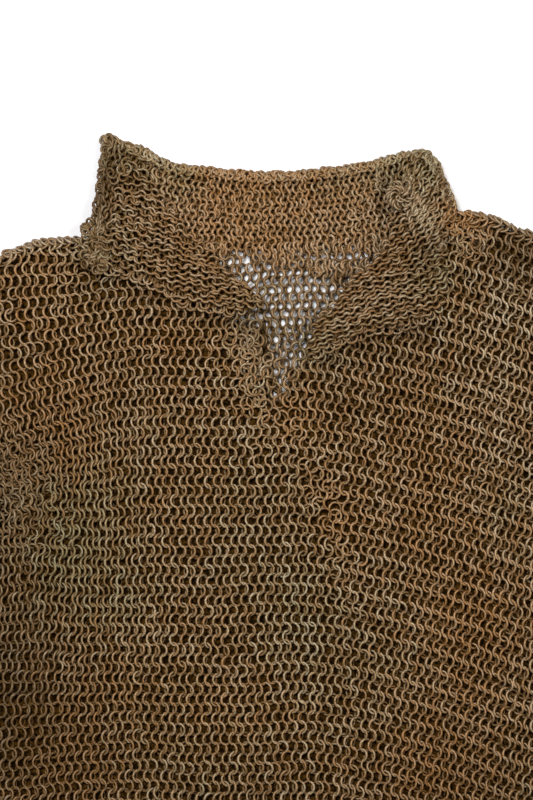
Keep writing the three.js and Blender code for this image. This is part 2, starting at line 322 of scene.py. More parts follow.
# Pale patches: paler rings by the right lapel's corner and elsewhere, painted glints on the lower
# chest, and, below zero, a darker left side.
PALE_AND_GLINTS = [
    (92, 343, 9, 1.0), (101, 334, 7, 0.5), (108, 330, 6, 0.5), (114, 324, 6, 0.5),
    (118, 316, 6, 0.4), (114, 366, 16, 0.3), (18, 75, 16, 0.25), (26, 30, 18, 0.25),
    (170, 250, 30, 0.15), (-185, 60, 20, -0.2), (-150, 120, 40, -0.15)]


def patina_and_shade_at(centre):
    """How olive, how rusty and how dark the mail is at each ring, from 0 to 1. The darkness is
    partly the iron's own dark colour and partly painted shadow.
    """
    spots = np.column_stack([blob(centre, places) for places in (OLIVE, RUST, DARK_AND_SHADOWS)])
    return np.clip(spots + rng.normal(0, 0.09, spots.shape), 0, 1)


def put(node, values):
    """Gives a node's inputs their values by name."""
    for name, value in values.items():
        node.inputs[name].default_value = value


def new_material(name, values):
    """A new material whose shader has these values, its shader, its nodes and its links."""
    material = bpy.data.materials.new(name)
    material.use_nodes = True
    nodes = material.node_tree.nodes
    shader = nodes["Principled BSDF"]
    put(shader, values)
    nodes.new("ShaderNodeTexCoord").name = "Place"
    return material, shader, nodes, material.node_tree.links


def noise(nodes, links, scale, detail):
    """A noise over the piece's own places."""
    node = nodes.new("ShaderNodeTexNoise")
    put(node, {"Scale": scale, "Detail": detail})
    links.new(nodes["Place"].outputs["Object"], node.inputs["Vector"])
    return node.outputs["Fac"]


def mail_material(name, low, middle, high, painted_shade=1.0):
    """Old iron wire: three browns picked by each ring's own tone, turned olive, orange or dark by
    the patches where it lies, mottled by two noises, darker deep in the weave and on the wire's
    flanks by painted shade, as strong as the last argument says, and slightly glossy."""
    material, shader, nodes, links = new_material(
        name, {"Metallic": 0.25, "Specular IOR Level": 0.35})

    def feed(socket, value):
        """Gives a socket a number or a colour, or links it to an output."""
        if isinstance(value, bpy.types.NodeSocket):
            links.new(value, socket)
        else:
            socket.default_value = (*value, 1) if isinstance(value, tuple) else value

    def attribute(word, output="Fac"):
        """One of the rings' own attributes."""
        node = nodes.new("ShaderNodeAttribute")
        node.attribute_name = word
        return node.outputs[output]

    def maths(operation, a, b=0.0, clamp=False):
        """Two numbers joined by one operation."""
        node = nodes.new("ShaderNodeMath")
        node.operation = operation
        node.use_clamp = clamp
        feed(node.inputs[0], a)
        feed(node.inputs[1], b)
        return node.outputs[0]

    def mix(factor, a, b, blend="MIX"):
        """Colour a turned to b, or multiplied by it, by a factor."""
        node = nodes.new("ShaderNodeMix")
        node.data_type = "RGBA"
        node.blend_type = blend
        links.new(factor, node.inputs[0])
        feed(node.inputs[6], a)
        feed(node.inputs[7], b)
        return node.outputs[2]

    def beyond(a, b, steep):
        """How far a is over b, times steep, from 0 to 1."""
        return maths("MULTIPLY", maths("SUBTRACT", a, b, True), steep, True)

    ramp = nodes.new("ShaderNodeValToRGB")
    elements = ramp.color_ramp.elements
    elements[0].position, elements[0].color = 0.05, (*low, 1)
    elements[1].position, elements[1].color = 0.95, (*high, 1)
    elements.new(0.5).color = (*middle, 1)
    links.new(attribute("tone"), ramp.inputs["Fac"])
    patina_and_shade = nodes.new("ShaderNodeSeparateXYZ")
    links.new(attribute("patina_and_shade", "Vector"), patina_and_shade.inputs[0])
    cloudy = noise(nodes, links, 28, 4)
    mottled = noise(nodes, links, 420, 5)
    pitted = noise(nodes, links, 1100, 2)
    olive = maths("MULTIPLY", patina_and_shade.outputs[0], maths("ADD", cloudy, 0.25), True)
    rusty = maths("MULTIPLY", patina_and_shade.outputs[1], maths("ADD", mottled, 0.2), True)
    colour = mix(olive, ramp.outputs["Color"], (0.58, 0.76, 0.66), "MULTIPLY")
    colour = mix(rusty, colour, (0.36, 0.155, 0.04))
    colour = mix(beyond(mottled, 0.56, 4.0), colour, (0.33, 0.16, 0.06))
    colour = mix(beyond(0.5, mottled, 3.5), colour, (0.30, 0.25, 0.17))
    pits = beyond(0.53, pitted, 6.0)
    colour = mix(maths("MULTIPLY", pits, 0.75), colour, (0.12, 0.06, 0.013))
    # Dark patches: dark patina, and in places painted shadow.
    colour = mix(maths("MULTIPLY", patina_and_shade.outputs[2], 0.75), colour, (0.055, 0.034, 0.012))
    # Painted shade: the lower a point lies in the weave, the darker it is, as where the rings shade
    # one another.
    deep = maths("SUBTRACT", 0.35, attribute("height"), True)
    colour = mix(maths("MULTIPLY", deep, 0.66 * painted_shade), colour, (0.12, 0.057, 0.006))
    # Painted shade: the wire's flanks, facing less upwards, are darker than its crest, as if lit
    # from above.
    facing = nodes.new("ShaderNodeSeparateXYZ")
    links.new(nodes["Place"].outputs["Normal"], facing.inputs[0])
    flank = maths("SUBTRACT", 1.0, maths("POWER", maths("MAXIMUM", facing.outputs[2], 0.0), 1.6))
    colour = mix(maths("MULTIPLY", flank, 0.6 * painted_shade), colour, (0.075, 0.033, 0.004))
    links.new(colour, shader.inputs["Base Color"])
    links.new(maths("ADD", maths("MULTIPLY", mottled, 0.45), 0.3), shader.inputs["Roughness"])
    bump = nodes.new("ShaderNodeBump")
    put(bump, {"Strength": 0.8, "Distance": 0.25 * MM})
    links.new(pitted, bump.inputs["Height"])
    links.new(bump.outputs["Normal"], shader.inputs["Normal"])
    return material


def shade_wall_material(name, colour):
    """The wall behind the rings: a dark brown of painted shade, standing in for the rings of the
    layer below in shadow, mottled by a noise of about a wire's width, as those rings show through in
    part."""
    material, shader, nodes, links = new_material(
        name, {"Roughness": 0.95, "Specular IOR Level": 0.05})
    ramp = nodes.new("ShaderNodeValToRGB")
    first, last = ramp.color_ramp.elements
    first.position, first.color = 0.42, (*(0.12 * c for c in colour), 1)
    last.position, last.color = 0.66, (*colour, 1)
    links.new(noise(nodes, links, 480, 2), ramp.inputs["Fac"])
    links.new(ramp.outputs["Color"], shader.inputs["Base Color"])
    return material


def wall(name, plan, under, thickness=FOIL):
    """A thin closed wall over a grid of points in plan (rows, columns, 2): its lower side at the
    height that under gives, its upper side a thickness higher, and its four rims closed."""
    rows, columns = plan.shape[:2]
    z = under(plan[..., 0], plan[..., 1])
    low = np.dstack([plan, z]).reshape(-1, 3)
    high = low + [0, 0, thickness]
    index = np.arange(rows * columns).reshape(rows, columns)
    a, b, c, d = index[:-1, :-1], index[:-1, 1:], index[1:, 1:], index[1:, :-1]
    count = rows * columns
    below = np.stack([a, d, c, b], -1).reshape(-1, 4)
    above = np.stack([a, b, c, d], -1).reshape(-1, 4) + count
    rim = np.concatenate([index[0, :-1], index[:-1, -1], index[-1, :0:-1], index[:0:-1, 0]])
    after = np.roll(rim, -1)
    around = np.stack([rim, after, after + count, rim + count], -1)
    return new_mesh(name, np.vstack([low, high]), np.vstack([below, above, around]))


def ruled(first, last, count):
    """A grid whose rows lead by equal steps from one line of points to another."""
    share = np.linspace(0, 1, count)[:, None, None]
    return first * (1 - share) + last * share


def walk(line):
    """The way walked along a line of points up to each of them."""
    return np.concatenate([[0], np.cumsum(np.linalg.norm(np.diff(line, axis=0), axis=1))])


def spaced(line, count):
    """count points at equal steps along a line of points."""
    walked = walk(line)
    at = np.linspace(0, walked[-1], count)
    return np.column_stack([np.interp(at, walked, line[:, k]) for k in (0, 1)])


def body_plan(top_edge, raised, left_of_slit, inset=3 * MM):
    """The plan of a body panel: columns from the hem to the armpit line, then to the upper edge,
    drawn in a little so that the rings reach past it, and further beside the neck slit."""
    x = top_edge[:, 0]
    beside = np.select([np.abs(x) > 120 * MM, x > 2 * MM, x > -8 * MM], [0, 5 * MM, left_of_slit],
                       -5 * MM)
    top_edge = top_edge + np.column_stack([beside, np.where(beside == 0, 0, -3 * MM)])
    share = top_edge[:, 0] / SHOULDER_HALF_WIDTH
    hem = np.column_stack([
        share * (HEM_HALF_WIDTH - inset), hem_line(share * HEM_HALF_WIDTH, raised) + inset])
    armpit = np.column_stack([
        share * (ARMPIT_HALF_WIDTH - inset), np.full(len(share), ARMPIT_Y)])
    top = top_edge * [1 - inset / SHOULDER_HALF_WIDTH, 1] - [0, inset]
    return np.vstack([ruled(hem, armpit, 28), ruled(armpit, top, 18)[1:]])


def add_piece(piece, material, node):
    """Fixes a finished piece to the garment in its node's place and gives it its finish."""
    piece.data.materials.append(material)
    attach(piece, "root")
    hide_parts(node)


def finer(line, step=9 * MM):
    """The same line with more points, none further to the right of the last than a step."""
    counts = np.maximum(1, np.ceil(np.diff(line[:, 0]) / step)).astype(int)
    parts = [np.linspace(a, b, n, endpoint=False) for a, b, n in zip(line[:-1], line[1:], counts)]
    return np.vstack([*parts, line[-1:]])


# This wall and the others like it are painted shade: a dark brown for the rings below in shadow,
# between the rings above.
behind = shade_wall_material("shade_wall_of_the_back_layer", (0.12, 0.065, 0.018))
back_wall = wall("back_wall", body_plan(finer(FRONT_TOP), 0, 6 * MM), level(LOWER_WALL_LIFT))
add_piece(back_wall, behind, "body_back")

back_iron = mail_material(
    "iron_of_the_back_layer", (0.24, 0.15, 0.075), (0.36, 0.25, 0.145), (0.47, 0.37, 0.25))

SLIT_PITCH = 6.0 * MM
SLIT_ROW = 5.75 * MM
SLIT_RADIUS = 3.7 * MM
SLIT_WIRE = 2.0 * MM


def smooth(low, high, value):
    """0 below low, 1 above high, and an even bend between them."""
    t = np.clip((value - low) / (high - low), 0, 1)
    return t * t * (3 - 2 * t)


def slit_surface(u, v):
    """The back's weave inside the neck slit, pulled wide open: nearly flat on the floor, its rows
    rising a little to the right."""
    tight = 1 - 0.05 * (1 - smooth(225 * MM, 262 * MM, v))
    x = u * tight - 0.05 * v + 0.9 * MM * np.sin(v / (9 * MM))
    return np.column_stack([x, v + 0.065 * u + 1.2 * MM * np.sin(u / (17 * MM)), 0 * u + LAYER / 2])


def joined(*groups):
    """Groups of rings as one, part by part."""
    return [np.concatenate(part) for part in zip(*groups)]


def heap(places):
    """Loose, crumpled mail: rings at random in an ellipse, each turned and tilted at random. A
    place is x, y, the two half-widths, the height of its middle and the number of rings."""
    found = []
    for x, y, half_x, half_y, height, count in places:
        turn = rng.uniform(0, 2 * np.pi, count)
        out = np.sqrt(rng.random(count))
        rise = height + 1.6 * (1 - out) + rng.normal(0, 0.5, count)
        centre = MM * np.column_stack([
            x + half_x * out * np.cos(turn), y + half_y * out * np.sin(turn), rise])
        outward = rng.normal(0, 0.45, (count, 3)) + [0, 0, 1]
        outward[:, 0] += 0.5 * out * np.cos(turn)
        outward[:, 1] += 0.5 * out * np.sin(turn)
        outward = unit(outward)
        along = squared(rng.normal(0, 1, (count, 3)), outward)
        found.append((centre, along, outward, np.full(count, 0.3)))
    return joined(*found)


SLIT = mm(
    [-118, 318], [-60, 288], [-32, 270], [-18, 250], [-16, 204], [-4, 192], [14, 198], [36, 222],
    [52, 242], [76, 266], [102, 292], [112, 322], [40, 310], [-40, 310])
u, v, side = lattice(mm(-110, 110), mm(190, 330), SLIT_PITCH, SLIT_ROW)
centre = slit_surface(u, v)
kept = to_outline(centre, SLIT)[0] > 0

# Three rings are missing at the slit's upper left, and loose ones lie low in it and by its right.
lost = mm([-23.4, 300.6], [-14.7, 301.3], [-10, 282])
kept[np.linalg.norm(centre[:, None, :2] - lost, axis=-1).argmin(0)] = False
placed = weave(slit_surface, u[kept], v[kept], side[kept], SLIT_PITCH, SLIT_WIRE, 1.9)
low_in_slit = 1 - smooth(215 * MM, 262 * MM, placed[0][:, 1])
placed = shaken(*placed, 1.2 + 1.5 * low_in_slit)
loose = heap([(-1, 224, 9, 21, 2.8, 11), (44, 289, 15, 5, 2.8, 10)])
placed = joined(placed, loose)
back_slit = rings("back_rings_in_slit", *placed, SLIT_RADIUS, SLIT_WIRE, 12, 4)
add_piece(back_slit, back_iron, "body_back")

# ---- The front panel and the upper layer of the sleeves ----
# One weave runs over the chest and both sleeves: iron rings 10.8 mm across, their wire 1.8 mm thick
# with its rust, in rows that sink to the right of the slit. It lies on the layer below in soft
# creases, and rolls over it along the sides and shoulders.

RING_PITCH = 5.75 * MM
ROW_PITCH = 6.86 * MM
RING_RADIUS = 4.5 * MM
WIRE = 1.8 * MM
FRONT_HEM_RISE = 14 * MM
CUFF_SETBACK = 7 * MM
FOLD_REACH = 16 * MM  # how far from a rolled edge the rings tilt
SIDE_FOOT_Y = -378 * MM
DETAIL_HALF_WIDTH, DETAIL_FOOT_Y = 196 * MM, -90 * MM  # here the rings have the most faces
MIDDLE_HALF_WIDTH = 62 * MM

# Each crease: where it starts, where it ends, its reach to either side and its height.
CREASES = mm(
    [-268, 92, -128, 224, 17, 6], [270, 100, 126, 226, 18, 5.5],
    [-206, 284, -148, 290, 13, 3.5], [206, 290, 156, 262, 14, 3.5],
    [-178, 214, -156, -60, 15, 5], [12, 190, 66, 30, 18, 3],
    [150, 180, 188, -40, 22, 4], [-84, 60, -70, -120, 24, 3],
    [-228, 20, -254, -480, 20, 6], [-96, -90, -124, -490, 24, 5.5],
    [4, -170, 16, -470, 26, 4], [112, -70, 138, -490, 24, 5.5],
    [222, 10, 250, -480, 21, 6], [-292, 262, -300, 84, 15, 5],
    [-350, 232, -346, 70, 14, 4.5], [-400, 214, -372, 92, 14, 4],
    [294, 274, 302, 96, 15, 5], [352, 240, 340, 84, 14, 4.5],
    [402, 226, 372, 100, 14, 4])


def relief(x, y):
    """Height of the creases: each is a bell across its line, fading over the last fifth at each
    end. Round the neck, beneath the collar, there are none."""
    ax, ay, bx, by, reach, height = CREASES.T
    dx, dy = bx - ax, by - ay
    px, py = x[..., None] - ax, y[..., None] - ay
    along = np.clip((px * dx + py * dy) / (dx ** 2 + dy ** 2), 0, 1)
    away = np.hypot(px - along * dx, py - along * dy)
    fade = smooth(0, 0.2, along) * (1 - smooth(0.8, 1, along))
    bell = (height * fade * np.exp(-((away / reach) ** 2))).sum(-1)
    return bell * smooth(1, 1.5, np.hypot((x - 5 * MM) / (150 * MM), (y - 300 * MM) / (90 * MM)))


def upper_middle(x, y):
    """Middle height of the upper layer."""
    return LAYER + GAP + LAYER / 2 + relief(x, y)


def bend(value, start, reach):
    """The running sum of a slope that grows from 0 to 1 about start, over reach, in mm."""
    start, reach = start * MM, reach * MM
    return reach * np.logaddexp(0, (value - start) / reach)


def front_surface(u, v):
    """The upper layer's weave: u to the right and v up, both on the flat. Rows sink to the right
    of the slit and, high on the chest, to the left too. By the left side the rings are pushed
    together. Slow and quick waves keep the rows from running straight."""
    pushed = 0.06 * u - 0.06 * bend(u, 60, 20) - 0.13 * bend(u, 130, 20)
    crowded = np.exp(-(((v - 115 * MM) / (125 * MM)) ** 4))
    pushed = pushed + 0.31 * bend(-u, 86, 14) * crowded
    waver = 0.8 * MM * np.sin(v / (31 * MM) + u / (60 * MM))
    waver = waver + 0.5 * MM * np.sin(v / (11 * MM) - u / (29 * MM))
    x = u + pushed + waver
    high = np.exp(-(((v - 212 * MM) / (62 * MM)) ** 2))
    low = 1 - smooth(-40 * MM, 10 * MM, v)
    sink = (
        0.24 * bend(u, 50, 24) + 0.12 * bend(u, 100, 18)
        + (0.22 * bend(-u, 112, 9) + 0.2 * bend(-u, 165, 12)) * high
        + 0.12 * bend(-u, 115, 15) * low + 0.2 * bend(-u, 225, 22))
    wave = 1.3 * MM * np.sin(u / (37 * MM) + v / (90 * MM)) + 0.8 * MM * np.sin(u / (17 * MM))
    wave = wave + 0.45 * MM * np.sin(u / (9 * MM) + v / (23 * MM))
    y = v - sink + wave
    return np.column_stack([x, y, upper_middle(x, y)])


# Places where the mail is bunched up or untidy, as the patches of patina are given.
BUNCHED = [(-17, 240, 13, 1), (-11, 214, 10, 1), (140, 317, 14, 1)]
UNTIDY = [
    (-16, 240, 14, 1.2), (-12, 216, 12, 1.2), (-3, 200, 16, 1.6), (14, 186, 12, 2.0),
    (32, 150, 13, 2.0), (46, 126, 12, 2.0), (55, 92, 14, 1.6), (-158, 116, 20, 1.8),
    (-176, 150, 18, 1.2), (-130, 290, 18, 1.5), (140, 318, 16, 1.5), (-170, 250, 24, 0.6),
    (170, 160, 30, 0.5)]

front_iron = mail_material(
    "iron_of_the_front", (0.31, 0.168, 0.072), (0.415, 0.288, 0.160), (0.52, 0.415, 0.285))
# The front's wall is painted shade, dark for the shadowed layer between its rings.
front_shade_wall = shade_wall_material("shade_wall_of_the_front", (0.062, 0.027, 0.003))
upper_outline = garment_outline(FRONT_HEM_RISE, CUFF_SETBACK)
u, v, side = lattice(mm(-620, 500), mm(-400, 560), RING_PITCH, ROW_PITCH)
centre = front_surface(u, v)
distance, towards = to_outline(centre, upper_outline)

# The rolled edges, each with the fabric on its left: shoulders with the sleeves' upper edges, and
# sides with the sleeves' lower edges.
drawn_in = mm([-6, 1.8], [-6, 2.3])
right_ends, left_ends = RIGHT_CUFF + drawn_in, LEFT_CUFF + drawn_in * [-1, 1]
shoulders = [
    np.vstack([right_ends[1:], RIGHT_SHOULDER[::-1], [[0.131, 0.330]]]),
    np.vstack([[[-0.124, 0.314]], LEFT_SHOULDER[::-1], left_ends[1:]])]
sides = [
    np.array([[HEM_HALF_WIDTH, SIDE_FOOT_Y], [ARMPIT_HALF_WIDTH, ARMPIT_Y], right_ends[0]]),
    np.array([left_ends[0], [-ARMPIT_HALF_WIDTH, ARMPIT_Y], [-HEM_HALF_WIDTH, SIDE_FOOT_Y]])]
fold = np.full(len(u), 1.0)
for line in shoulders + sides:
    fold = np.minimum(fold, off_line(centre, line))
by_fold = fold < FOLD_REACH
by_slit = (np.abs(centre[:, 0]) < 139 * MM) & (centre[:, 1] > 190 * MM)
kept = distance > np.where(by_slit, 2.2 * MM, np.where(by_fold, 4.6 * MM, 3.8 * MM))
u, v, side, distance, towards, by_fold = (
    part[kept] for part in (u, v, side, distance, towards, by_fold))
centre, along, outward, lean = weave(front_surface, u, v, side, RING_PITCH, WIRE)
untidy = 1.1 + blob(centre, UNTIDY)
lean = lean * (1 - 0.28 * np.clip(untidy - 1, 0, 1.4))


def turned_out(centre, along, outward, towards, roll):
    """The same rings with their surface turned by an angle towards the way out of the outline."""
    out = level_way(towards)
    outward = unit(outward * np.cos(roll)[:, None] + out * np.sin(roll)[:, None])
    return centre, squared(along, outward), outward


def edge_band(line, columns, spacing, surface_height, lead_along):
    """Rings in columns along an edge that has the fabric on its left. A column is how far in it
    lies, how far it is turned over, and how far below the surface. Neighbouring columns are set
    over by half a spacing and lean opposite ways, about the edge or across it."""
    steps, walked = np.diff(line, axis=0), walk(line)
    found = []
    for number, (inset, roll, drop) in enumerate(columns):
        at = np.arange(spacing * (0.3 + 0.5 * (number % 2)), walked[-1], spacing)
        leg = np.clip(np.searchsorted(walked, at) - 1, 0, len(steps) - 1)
        way = unit(steps[leg])
        out = np.column_stack([way[:, 1], -way[:, 0]])
        plan = line[leg] + way * (at - walked[leg])[:, None] - out * inset
        height = surface_height(plan[:, 0], plan[:, 1]) - drop
        centre = np.column_stack([plan, height])
        along = level_way(way if lead_along else out)
        up = np.tile([0.0, 0.0, 1.0], (len(at), 1))
        angle = np.full(len(at), roll)
        centre, along, up = turned_out(centre, along, up, out, angle)
        found.append((centre, along, up, np.full(len(at), 0.45 * (1 - 2 * (number % 2)))))
    return joined(*found)


# Near a fold the rings tilt a little towards it; beyond them two columns of rings turn over it.
tilt = np.where(by_fold, 0.4 * (1 - smooth(4 * MM, 12 * MM, distance)), 0)
centre, along, outward = turned_out(centre, along, outward, towards, tilt)
centre[:, 2] -= 2.5 * MM * tilt
groups = [(centre, along, outward, lean, untidy)]

# Left of the slit and on the right shoulder the mail is bunched up: a second, looser layer of the
# same rings lies over it there, set over by half a ring and leaning the other way.
crowd = blob(centre, BUNCHED) > 0.45
groups.append((
    centre[crowd] + mm(2.6, 2.2, 0.9), along[crowd], outward[crowd], -lean[crowd],
    untidy[crowd] + 0.9))
TURN = [(1.0 * MM, 1.30, 2.4 * MM), (2.9 * MM, 0.75, 0.9 * MM)]  # the columns that roll over
for line in shoulders:
    band = edge_band(line, TURN, RING_PITCH, upper_middle, True)
    groups.append((*band, np.full(len(band[0]), 1.5)))
for line in sides:
    band = edge_band(line, TURN, ROW_PITCH, upper_middle, False)
    groups.append((*band, np.full(len(band[0]), 1.3)))
placed = shaken(*joined(*groups))
centre = placed[0]

detailed = (np.abs(centre[:, 0]) < DETAIL_HALF_WIDTH) & (centre[:, 1] > DETAIL_FOOT_Y)
seam = ARMPIT_HALF_WIDTH + (centre[:, 1] - ARMPIT_Y) / (292 * MM - ARMPIT_Y) * (
    SHOULDER_HALF_WIDTH - ARMPIT_HALF_WIDTH)
in_sleeve = (np.abs(centre[:, 0]) > seam) & (centre[:, 1] > 30 * MM)
left = centre[:, 0] < 0
middle = np.abs(centre[:, 0]) < MIDDLE_HALF_WIDTH
zones = {  # the rings of each piece, and their faces round the ring and round the wire
    "front_rings_chest_left": (detailed & left & ~middle, 12, 4),
    "front_rings_chest_middle": (detailed & middle, 12, 4),
    "front_rings_chest_right": (detailed & ~left & ~middle, 12, 4),
    "front_rings_side_left": (~detailed & ~in_sleeve & left, 7, 3),
    "front_rings_side_right": (~detailed & ~in_sleeve & ~left, 7, 3),
    "sleeve_left_rings": (in_sleeve & left, 7, 3),
    "sleeve_right_rings": (in_sleeve & ~left, 7, 3)}
made = {}
for name, (chosen, *faces) in zones.items():
    made[name] = rings(name, *(value[chosen] for value in placed), RING_RADIUS, WIRE, *faces)
    node = name.replace("rings", "upper") if "sleeve" in name else "body_front"
    add_piece(made[name], front_iron, node)


def upper_floor(x, y):
    """The lower side of the upper layer."""
    return LAYER + GAP + relief(x, y)


front_wall = wall("front_wall", body_plan(finer(FRONT_TOP), FRONT_HEM_RISE, -5 * MM), upper_floor)
add_piece(front_wall, front_shade_wall, "body_front")

for word, cuff, sign in (("left", LEFT_CUFF, -1), ("right", RIGHT_CUFF, 1)):
    shoulder = LEFT_SHOULDER[0] if sign < 0 else RIGHT_SHOULDER[-1]
    seam = np.linspace([sign * ARMPIT_HALF_WIDTH, ARMPIT_Y + 3 * MM], shoulder - [0, 3 * MM], 20)
    seam = seam - [sign * 3 * MM, 0]
    end = np.linspace(cuff[0] + [0, 3 * MM], cuff[1] - [0, 3 * MM], 20)
    plan = np.swapaxes(ruled(seam, end - [sign * (CUFF_SETBACK + 3 * MM), 0], 20), 0, 1)
    low_plan = np.swapaxes(ruled(seam, end - [sign * 3 * MM, 0], 20), 0, 1)
    if sign < 0:
        plan, low_plan = plan[:, ::-1], low_plan[:, ::-1]
    upper = wall(f"sleeve_{word}_upper_wall", plan, upper_floor)
    add_piece(upper, front_shade_wall, f"sleeve_{word}_upper")
    lower = wall(f"sleeve_{word}_lower_wall", low_plan, level(LOWER_WALL_LIFT))
    add_piece(lower, behind, f"sleeve_{word}_lower")

# The back layer's rings along its open and folded edges show from the side and past the front's
# shorter hem.
lower_outline = garment_outline(0, 0)
u, v, side = lattice(mm(-450, 450), mm(-400, 340), RING_PITCH, ROW_PITCH)


def back_surface(u, v):
    """The lower layer's weave, level on the floor."""
    return np.column_stack([u, v + 1.5 * MM * np.sin(u / (60 * MM)), 0 * u + LAYER / 2 + 0.3 * MM])


centre = back_surface(u, v)
distance = to_outline(centre, lower_outline)[0]
by_hem = centre[:, 1] < hem_line(centre[:, 0], 21 * MM)
by_neck = (np.abs(centre[:, 0]) < 126 * MM) & (centre[:, 1] > 180 * MM)
kept = (distance > 3.6 * MM) & ((distance < 9.5 * MM) | by_hem) & ~by_neck
placed = weave(back_surface, u[kept], v[kept], side[kept], RING_PITCH, WIRE, 1.2)
placed = shaken(*placed, 1.0)
back_edges = rings("back_rings_at_edges", *placed, RING_RADIUS, WIRE, 8, 3)
add_piece(back_edges, back_iron, "body_back")

# ---- The collar behind the neck ----
# A band of smaller, closer rings, woven on to the back's neck edge and lying out flat above it. Its
# rim curls up a little.

COLLAR_PITCH = 4.4 * MM
COLLAR_ROW = 4.4 * MM
COLLAR_RADIUS = 2.9 * MM
COLLAR_WIRE = 2.0 * MM
NECK_SEAM = mm(
    [-122, 316], [-90, 311], [-60, 307.5], [-30, 305.5], [0, 305], [30, 305.5], [60, 308],
    [90, 314], [118, 325], [135, 332])
COLLAR_RIM = mm(
    [-113.5, 386], [-96, 381], [-81, 375], [-65, 366], [-47, 364], [-20, 361], [1, 360],
    [22, 361], [50, 364], [71, 367], [85, 371], [97, 374.5], [113, 374.5], [120, 366])
COLLAR_STEPS = 60
collar_foot = spaced(NECK_SEAM, COLLAR_STEPS)
collar_rim = spaced(COLLAR_RIM, COLLAR_STEPS)
COLLAR_WIDTH = 245 * MM
COLLAR_HEIGHT = 60 * MM


def picked(line, at):
    """Points of a line of points (N, 2) at places from 0 to N - 1, straight between its points."""
    return np.column_stack([np.interp(at, np.arange(len(line)), line[:, k]) for k in (0, 1)])


def collar_surface(u, v):
    """The band between the neck seam, v of 0, and the rim, v of its height."""
    at = np.clip(u / COLLAR_WIDTH, 0, 1) * (COLLAR_STEPS - 1)
    t = (v / COLLAR_HEIGHT)[:, None]
    plan = picked(collar_foot, at) * (1 - t) + picked(collar_rim, at) * t
    curl = 2.5 * MM * smooth(0.75, 1.1, t[:, 0])
    return np.column_stack([plan, LAYER / 2 + 0.9 * MM + curl])


COLLAR_FOOT = mm(
    [-122, 311], [-90, 306], [-60, 302.5], [-32, 302], [-12, 305], [-8, 296], [22, 294], [30, 291],
    [44, 288], [70, 290], [92, 304], [118, 320], [135, 327])
collar_outline = np.vstack([COLLAR_FOOT, COLLAR_RIM[::-1]])
u, v, side = lattice((0, COLLAR_WIDTH), (-20 * MM, 1.1 * COLLAR_HEIGHT), COLLAR_PITCH, COLLAR_ROW)
centre = collar_surface(u, v)
kept = to_outline(centre, collar_outline)[0] > 1.8 * MM

# Right of the middle a row of rings is missing just above the slit.
open_row = (np.abs(centre[:, 1] - 302 * MM) < 3.6 * MM) & (centre[:, 0] > 26 * MM)
kept &= ~(open_row & (centre[:, 0] < 76 * MM))
placed = weave(collar_surface, u[kept], v[kept], side[kept], COLLAR_PITCH, COLLAR_WIRE, 1.3)
rim_band = edge_band(
    COLLAR_RIM[::-1], [(1.2 * MM, 0.9, 0.6 * MM), (3.0 * MM, 0.4, 0)], 4.2 * MM,
    level(LAYER / 2 + 2.6 * MM), True)
placed = shaken(*joined(placed, rim_band), 1.5)
collar_iron = mail_material(
    "iron_of_the_collar", (0.345, 0.207, 0.10), (0.44, 0.313, 0.19), (0.52, 0.405, 0.28), 0.7)
collar_rings = rings("collar_rings", *placed, COLLAR_RADIUS, COLLAR_WIRE, 10, 4)
add_piece(collar_rings, collar_iron, "collar_back")
# The collar's wall is painted shade, a lighter brown for the shadow between its rings.
collar_shade_wall = shade_wall_material("shade_wall_of_the_collar", (0.22, 0.105, 0.024))
collar_wall = wall(
    "collar_wall", ruled(collar_foot + [0, 2 * MM], collar_rim - [0, 2.6 * MM], 16),
    level(0.9 * MM))
add_piece(collar_wall, collar_shade_wall, "collar_back")

# ---- The collar's two ends, turned out as lapels ----
# The same band of small rings, folded over at each side of the neck so that its strands run across
# towards the slit. Each end rests on the front, and further up on the collar itself.

LEFT_INNER = mm(
    [-111, 385.5], [-93, 380], [-86, 372.7], [-79.8, 358], [-72.1, 345.4], [-63.7, 335.6],
    [-54.6, 319.5], [-36.4, 304.1], [-19.6, 285.9], [-4.2, 274.7], [0, 271])
LEFT_OUTER = mm(
    [-114, 385], [-115, 372], [-116.2, 361.5], [-119.7, 338.4], [-121, 328.6], [-128, 316],
    [-131, 304], [-119, 293], [-102, 289], [-87, 284.5], [-72, 277], [-58.8, 268.4],
    [-40, 264], [-24, 260.7], [-8.4, 264.2], [-1, 268])
RIGHT_INNER = mm(
    [92.4, 373.4], [90.3, 365], [87.5, 354.5], [84.7, 343.3], [87.5, 336.3], [86.1, 325.1],
    [79.8, 307.6], [74.2, 299.2], [63, 292.9], [56, 284.5], [49, 274.7], [38, 263.5],
    [33.6, 255], [28, 241.8], [26, 233.5])
RIGHT_OUTER = mm(
    [104.3, 375.5], [112.7, 374.8], [118.3, 369.2], [123.2, 358], [130.2, 339], [131, 333],
    [128.8, 323], [125.3, 309], [126.7, 291.5], [128, 276], [126, 269], [120.4, 262],
    [108.5, 255], [94.5, 251], [79.8, 250], [65.8, 246.7], [49, 239.7], [35.7, 231.3],
    [29.4, 229.2])
LAPEL_PITCH = 4.5 * MM
LAPEL_ROW = 4.2 * MM
LAPEL_RADIUS = 3.1 * MM
LAPEL_WIRE = 1.9 * MM
GUIDE_STEPS = 80


def lapel_floor(x, y):
    """What a lapel lies on: the front's top, and inside the neckline the collar's, with a slope
    between them."""
    points = np.column_stack([np.ravel(x), np.ravel(y)])
    over = y - np.interp(x, FRONT_TOP[:, 0], FRONT_TOP[:, 1])
    away = off_line(points, FRONT_TOP).reshape(np.shape(x))
    slope = smooth(18 * MM, 46 * MM, np.where(over > 0, away, 0))
    return GAP + (2 * LAYER + GAP) * (1 - slope) + LAYER * slope


def lapel_middle(x, y):
    """Middle height of a lapel's layer."""
    return lapel_floor(x, y) + LAYER / 2


